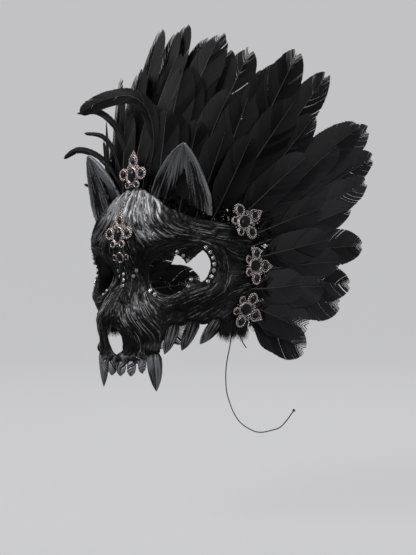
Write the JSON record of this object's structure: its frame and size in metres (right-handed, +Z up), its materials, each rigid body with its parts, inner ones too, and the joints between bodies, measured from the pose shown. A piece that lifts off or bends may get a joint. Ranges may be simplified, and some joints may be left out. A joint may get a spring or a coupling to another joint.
{
  "type": "venetian masquerade mask",
  "caption": "Beast-skull masquerade mask with sculpted black and silver relief, pricked ears, fangs, jewelled brooches, a swept-back black feather fan and a thin tie cord.",
  "frame": {"origin": "Midway between the wearer's eyes, the point that the mask is placed by on a head. The mask rests on a head, not on a floor.", "axes": "+X to the wearer's left, +Y back through the wearer's head, +Z up. The mask's face looks along -Y."},
  "size_m": [0.2939, 0.3128, 0.4596],
  "materials": {
    "shell": "black sculpted relief, dry-brushed silver",
    "ear_lining": "black felt",
    "ear": "black ridges, dry-brushed silver",
    "tooth": "black, dry-brushed silver",
    "antique_silver": "antique silver plated casting",
    "black_stone": "black faceted acrylic",
    "crystal_stud": "bright faceted metal stud",
    "felt": "black felt",
    "band_ribbon": "black ribbon",
    "black_feather": "dyed black feather",
    "plume": "thin black plume",
    "fur": "short black fur",
    "tab_leather": "black leather",
    "cord": "thin blue-grey cord",
    "cord_knot": "tightened knot of the same cord"
  },
  "bodies": {
    "root": {"face_shell": "shell", "lining": "felt", "forehead_pad": "felt", "cheek_pad_left": "felt", "cheek_pad_right": "felt", "ear_left": "ear", "ear_right": "ear", "ear_liner_left": "ear_lining", "ear_liner_right": "ear_lining", "incisors": "tooth", "fang_left": "tooth", "fang_right": "tooth", "side_tooth_left_1": "tooth", "side_tooth_left_2": "tooth", "side_tooth_left_3": "tooth", "side_tooth_right_1": "tooth", "side_tooth_right_2": "tooth", "side_tooth_right_3": "tooth", "brooch_crest": "antique_silver", "brooch_forehead": "antique_silver", "brooch_brow": "antique_silver", "brooch_left_upper": "antique_silver", "brooch_left_middle": "antique_silver", "brooch_left_lower": "antique_silver", "brooch_right_upper": "antique_silver", "brooch_right_middle": "antique_silver", "brooch_right_lower": "antique_silver", "stones_crest": "black_stone", "stones_forehead": "black_stone", "stones_brow": "black_stone", "stones_left_upper": "black_stone", "stones_left_middle": "black_stone", "stones_left_lower": "black_stone", "stones_right_upper": "black_stone", "stones_right_middle": "black_stone", "stones_right_lower": "black_stone", "eye_studs_left": "crystal_stud", "eye_studs_right": "crystal_stud", "bridge_studs": "crystal_stud", "crest_studs": "crystal_stud", "feather_band": "band_ribbon", "feathers_back_left": "black_feather", "feathers_back_right": "black_feather", "feathers_middle_left": "black_feather", "feathers_middle_right": "black_feather", "feathers_front_left": "black_feather", "feathers_front_right": "black_feather", "curl_feathers": "plume", "wisp_feathers": "plume", "fur_left": "fur", "fur_right": "fur", "tie_tab_left": "tab_leather", "tie_tab_right": "tab_leather", "tie_cord_left": "cord", "tie_cord_right": "cord", "tie_knot": "cord_knot", "tie_end_knot": "cord_knot"}
  },
  "joints": []
}
